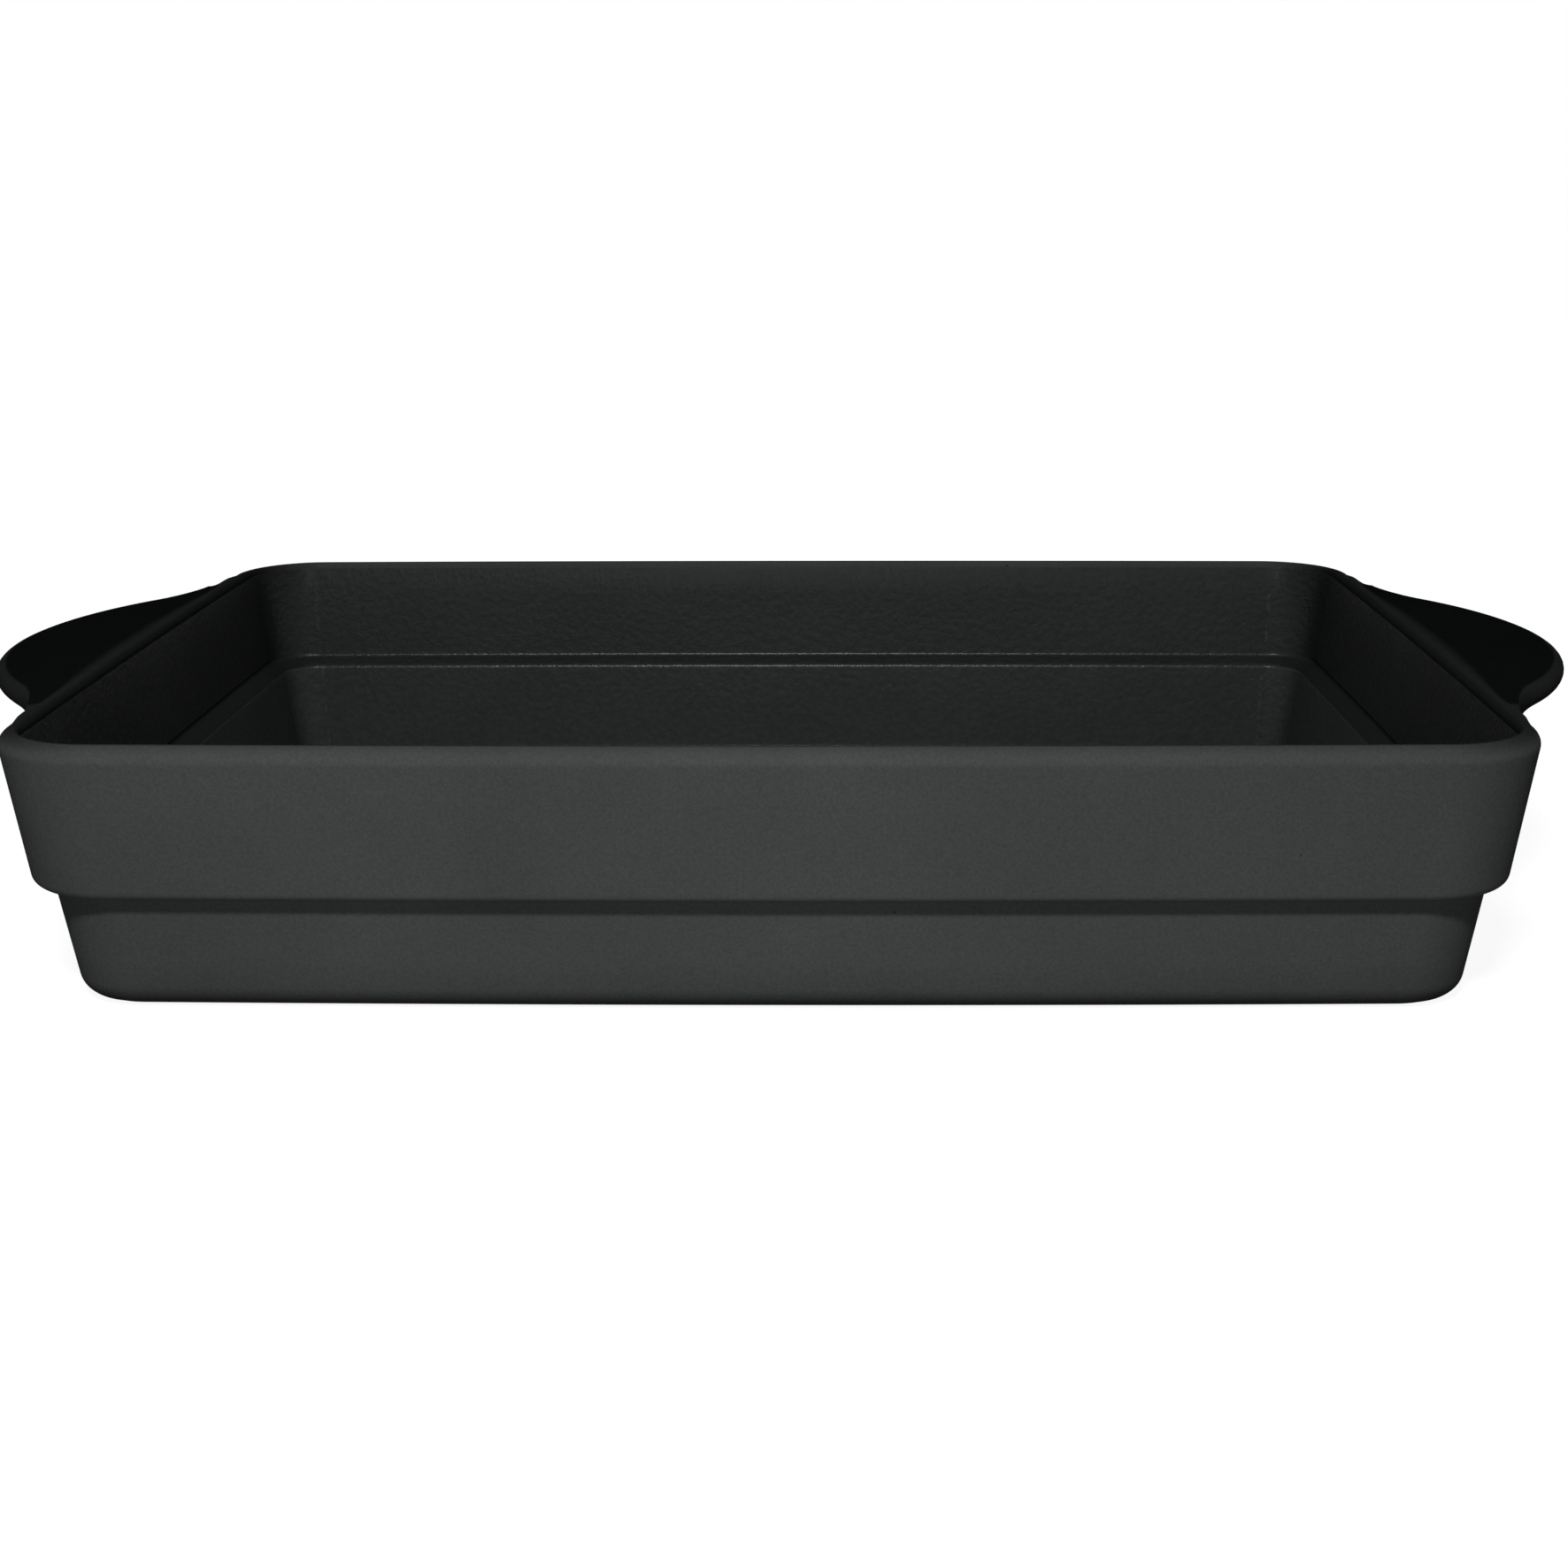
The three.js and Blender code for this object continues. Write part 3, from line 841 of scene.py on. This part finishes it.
def coat_inside(bm, ring, dish, faces, short_share):
    """Grows the coat from the top of the rim down the inside and closes it over the floor."""
    painted_shade, lighter = bm.verts.layers.float["painted_shade"], bm.verts.layers.float["lighter"]
    corners = [meeting(*pick(faces, "lip ledge")), meeting(*pick(faces, "ledge inside"))]
    # Columns at the ends of the long sides, where the upright inside corners begin and painted glints
    # run down.
    half_turn = 2 * CORNER_STEPS + LONG_STEPS + SHORT_STEPS
    long_ends = [start + half * half_turn
                 for start in (CORNER_STEPS, CORNER_STEPS + LONG_STEPS) for half in (0, 1)]
    lined = [LINER] * len(ring)
    parted = [MATT if short > 0.5 else LINER for short in short_share]
    for row in close_rows(walk(pick(faces, "top lip ledge inside floor"))):
        depth = dish.height - row.y
        shelf = ledge_share(row, *corners)
        if depth < LIP_DEPTH:
            finishes = None
        else:
            finishes = parted if shelf > 0 else lined
        ring = grow_ring(bm, ring, inside_level(dish, row), finishes)
        for vert, short in zip(ring, short_share):
            # Painted shade on the top, the walls inside, darker on the short sides, and the ledges.
            if depth < TOP_SLACK:
                vert[painted_shade] = TOP_SHADE
            else:
                above = row.y > corners[0].y
                wall_shade = between(INSIDE_SHADES, short) if above else BELOW_SHADE
                vert[painted_shade] = between((wall_shade, between(LEDGE_SHADES, short)), shelf)
            # Painted glints along the lip and the ledge, on the long sides only.
            vert[lighter] = LINER_PAINTED_GLINT * (1 - short) * corner_nearness(row, corners, LINER_REACH)
        # Painted glints down the upright inside corners.
        if depth > LIP_DEPTH and shelf == 0 and row.y > dish.floor + FLOOR_ROUND:
            for column in long_ends:
                ring[column][lighter] = CORNER_PAINTED_GLINT
    for outset in FLOOR_RINGS:
        ring = grow_ring(bm, ring, inside_level(dish, Vector((outset, dish.floor))), lined)
    close_ring(bm, ring, LINER)


class TERRINE_OT_glaze_coat(Operator):
    """Make the glaze over the dish and its lugs"""

    bl_idname = "terrine.glaze_coat"
    bl_label = "Glaze coat"

    def execute(self, context):
        dish, lug = context.scene.terrine_dish, context.scene.terrine_lugs
        colours = context.scene.terrine_glaze
        faces = faces_of(dish, 0)
        rim_line = outline(dish, 0)
        ahead = rim_line[1:] + rim_line[:1]
        short_share = [abs((b - a).normalized().y) for a, b in zip(rim_line, ahead)]
        bm = bmesh.new()
        bm.verts.layers.float.new("painted_shade")
        bm.verts.layers.float.new("lighter")
        ring = coat_outside(bm, dish, lug, faces)
        ring = coat_rim(bm, ring, dish, lug, faces, rim_line, short_share)
        coat_inside(bm, ring, dish, faces, short_share)
        glazes = [matt_charcoal_glaze(colours), satin_black_glaze(colours)]
        piece = make_piece(bm, "charcoal_glaze_coat", glazes, ["glaze_coat"])
        shell = piece.modifiers.new("Glaze thickness", "SOLIDIFY")
        shell.thickness = GLAZE
        shell.offset = -1
        return {"FINISHED"}


class TERRINE_OT_base_glaze(Operator):
    """Make the patch of glaze in the recess under the dish"""

    bl_idname = "terrine.base_glaze"
    bl_label = "Base glaze"

    def execute(self, context):
        dish = context.scene.terrine_dish
        low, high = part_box("base_glaze")
        rim = high.x - dish.rim_length / 2 - PATCH_EDGE
        bm = bmesh.new()
        start = ring = first_ring(bm, level(dish, Vector((rim - PATCH_EDGE, low.z))))
        for step in range(1, ARC_LEAST + 1):
            angle = math.pi / 2 * step / ARC_LEAST
            row = Vector((rim - PATCH_EDGE * (1 - math.sin(angle)),
                          low.z + PATCH_EDGE * (1 - math.cos(angle))))
            ring = grow_ring(bm, ring, level(dish, row))
        ring = grow_ring(bm, ring, level(dish, Vector((rim, high.z))))
        close_ring(bm, ring)
        close_ring(bm, start)
        glaze = matt_charcoal_glaze(context.scene.terrine_glaze)
        make_piece(bm, "base_glaze_patch", [glaze], ["base_glaze"])
        return {"FINISHED"}


class TERRINE_OT_lug_clay(Operator):
    """Finish the clay lugs and the slip that holds them, which lie under the glaze"""

    bl_idname = "terrine.lug_clay"
    bl_label = "Lug clay and slip"

    def execute(self, context):
        colours = context.scene.terrine_glaze
        clay = bare_stoneware("Bare stoneware", colours.clay)
        slip = bare_stoneware("Luting slip", colours.slip)
        for side in ("left", "right"):
            for node, material in ((f"{side}_handle", clay), (f"{side}_handle_slip", slip)):
                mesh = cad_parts[node].data
                mesh.materials.clear()
                mesh.materials.append(material)
        return {"FINISHED"}


def seen_plainly(tree):
    """1 for rays that look at the studio directly, in a reflection or through something, else 0."""
    path = add_node(tree, "ShaderNodeLightPath")
    seen = add_node(tree, "ShaderNodeMath", None,
                    {0: path.outputs["Is Camera Ray"], 1: path.outputs["Is Glossy Ray"]},
                    operation="MAXIMUM")
    clear = add_node(tree, "ShaderNodeMath", None,
                     {0: seen.outputs["Value"], 1: path.outputs["Is Transmission Ray"]},
                     operation="MAXIMUM")
    return clear.outputs["Value"]


def studio_floor(scene):
    """Lays a plain pale floor that is white to the eye and keeps the shadow of the dish."""
    bm = bmesh.new()
    bmesh.ops.create_grid(bm, x_segments=1, y_segments=1, size=FLOOR_HALF)
    mesh = bpy.data.meshes.new("studio_floor")
    bm.to_mesh(mesh)
    bm.free()
    floor = bpy.data.objects.new("studio_floor", mesh)
    scene.collection.objects.link(floor)
    material, tree = new_material("White studio floor")
    place = add_node(tree, "ShaderNodeTexCoord").outputs["Object"]
    away = add_node(tree, "ShaderNodeVectorMath", None, {0: place}, operation="LENGTH")
    white = add_node(tree, "ShaderNodeMapRange",
                     {"From Min": FLOOR_CLEARS[0], "From Max": FLOOR_CLEARS[1],
                      "To Min": FLOOR_WHITES[0], "To Max": FLOOR_WHITES[1]},
                     {"Value": away.outputs["Value"]})
    strength = add_node(tree, "ShaderNodeMath", None,
                        {0: seen_plainly(tree), 1: white.outputs["Result"]},
                        operation="MULTIPLY")
    glow = add_node(tree, "ShaderNodeEmission", None, {"Strength": strength.outputs["Value"]})
    matt = add_node(tree, "ShaderNodeBsdfDiffuse", {"Color": [*linear("#6A6A6A"), 1]})
    both = add_node(tree, "ShaderNodeAddShader", None, {0: glow.outputs[0], 1: matt.outputs[0]})
    add_node(tree, "ShaderNodeOutputMaterial", None, {"Surface": both.outputs[0]})
    mesh.materials.append(material)


def studio_walls(scene, sky):
    """Surrounds the dish with a white that lights it only faintly."""
    world = bpy.data.worlds.new("White studio")
    scene.world = world
    world.use_nodes = True
    tree = world.node_tree
    tree.nodes.clear()
    strength = add_node(tree, "ShaderNodeMapRange", {"To Min": sky, "To Max": 1},
                        {"Value": seen_plainly(tree)})
    glow = add_node(tree, "ShaderNodeBackground", {"Color": (1, 1, 1, 1)},
                    {"Strength": strength.outputs["Result"]})
    add_node(tree, "ShaderNodeOutputWorld", None, {"Surface": glow.outputs[0]})


def studio_lights(scene, stage):
    """Hangs the lights: where each is, its size, how far it spreads in degrees, and its power."""
    lights = {
        "key_light": ((-0.05, -0.854, 0.864), (0.16, 0.1), 70, stage.key_power),
        "front_light": ((-0.05, -1.0, 0.05), (0.25, 0.1), 70, stage.front_power),
        "left_side_light": ((-1.25, 0.27, 0.04), (0.1, 0.04), 17, stage.side_power),
        "right_side_light": ((1.25, 0.27, 0.04), (0.1, 0.04), 17, stage.side_power),
        "left_back_light": ((-0.5, 1.5, 0.035), (0.6, 0.05), 180, stage.low_back_power),
        "right_back_light": ((0.5, 1.5, 0.035), (0.6, 0.05), 180, stage.low_back_power),
        "high_back_light": ((0, 1.2, 1.2), (0.8, 0.8), 180, stage.high_back_power),
    }
    for name, (place, size, spread, power) in lights.items():
        light = bpy.data.lights.new(name, "AREA")
        light.shape = "RECTANGLE"
        light.size, light.size_y = size
        light.spread = math.radians(spread)
        light.energy = power
        lamp = bpy.data.objects.new(name, light)
        lamp.location = place
        aim = Vector(LIGHT_AIM) - Vector(place)
        lamp.rotation_euler = aim.to_track_quat("-Z", "Y").to_euler()
        scene.collection.objects.link(lamp)


def studio_camera(scene, lens):
    """Sets the camera in front of the dish, looking slightly down into it."""
    view = bpy.data.cameras.new("camera")
    view.lens = lens
    view.sensor_width = CAMERA_SENSOR
    view.shift_x = CAMERA_SHIFT
    camera = bpy.data.objects.new("camera", view)
    turn = Matrix.Rotation(CAMERA_HEADING, 4, "Z")
    turn = turn @ Matrix.Rotation(math.pi / 2 - CAMERA_DIP, 4, "X")
    turn = turn @ Matrix.Rotation(CAMERA_ROLL, 4, "Z")
    camera.matrix_world = Matrix.Translation(CAMERA_PLACE) @ turn
    scene.collection.objects.link(camera)
    scene.camera = camera


class TERRINE_OT_stage(Operator):
    """Set the floor, the studio light and the camera"""

    bl_idname = "terrine.stage"
    bl_label = "Studio"

    def execute(self, context):
        scene = context.scene
        stage = scene.terrine_stage
        scene.view_settings.view_transform = "Standard"
        studio_floor(scene)
        studio_walls(scene, stage.sky)
        studio_lights(scene, stage)
        studio_camera(scene, stage.lens)
        return {"FINISHED"}


class TERRINE_PT_dish(Panel):
    """Sizes and pieces of the terrine dish"""

    bl_idname = "TERRINE_PT_dish"
    bl_label = "Terrine dish"
    bl_space_type = "VIEW_3D"
    bl_region_type = "UI"
    bl_category = "Terrine dish"

    def draw(self, context):
        scene = context.scene
        groups = (scene.terrine_dish, scene.terrine_lugs, scene.terrine_glaze, scene.terrine_stage)
        for group in groups:
            box = self.layout.box()
            for name in group.__annotations__:
                box.prop(group, name)
        for operator in operators:
            self.layout.operator(operator.bl_idname)


operators = (
    TERRINE_OT_clay_body,
    TERRINE_OT_glaze_coat,
    TERRINE_OT_base_glaze,
    TERRINE_OT_lug_clay,
    TERRINE_OT_stage,
)
classes = (DishSizes, LugSizes, GlazeColours, StageSettings, *operators, TERRINE_PT_dish)


def register():
    for made in classes:
        bpy.utils.register_class(made)
    bpy.types.Scene.terrine_dish = PointerProperty(type=DishSizes)
    bpy.types.Scene.terrine_lugs = PointerProperty(type=LugSizes)
    bpy.types.Scene.terrine_glaze = PointerProperty(type=GlazeColours)
    bpy.types.Scene.terrine_stage = PointerProperty(type=StageSettings)


def unregister():
    del bpy.types.Scene.terrine_stage
    del bpy.types.Scene.terrine_glaze
    del bpy.types.Scene.terrine_lugs
    del bpy.types.Scene.terrine_dish
    for made in reversed(classes):
        bpy.utils.unregister_class(made)


def main():
    register()
    bpy.ops.terrine.clay_body()
    bpy.ops.terrine.glaze_coat()
    bpy.ops.terrine.base_glaze()
    bpy.ops.terrine.lug_clay()
    bpy.ops.terrine.stage()


if __name__ == "__main__":
    main()
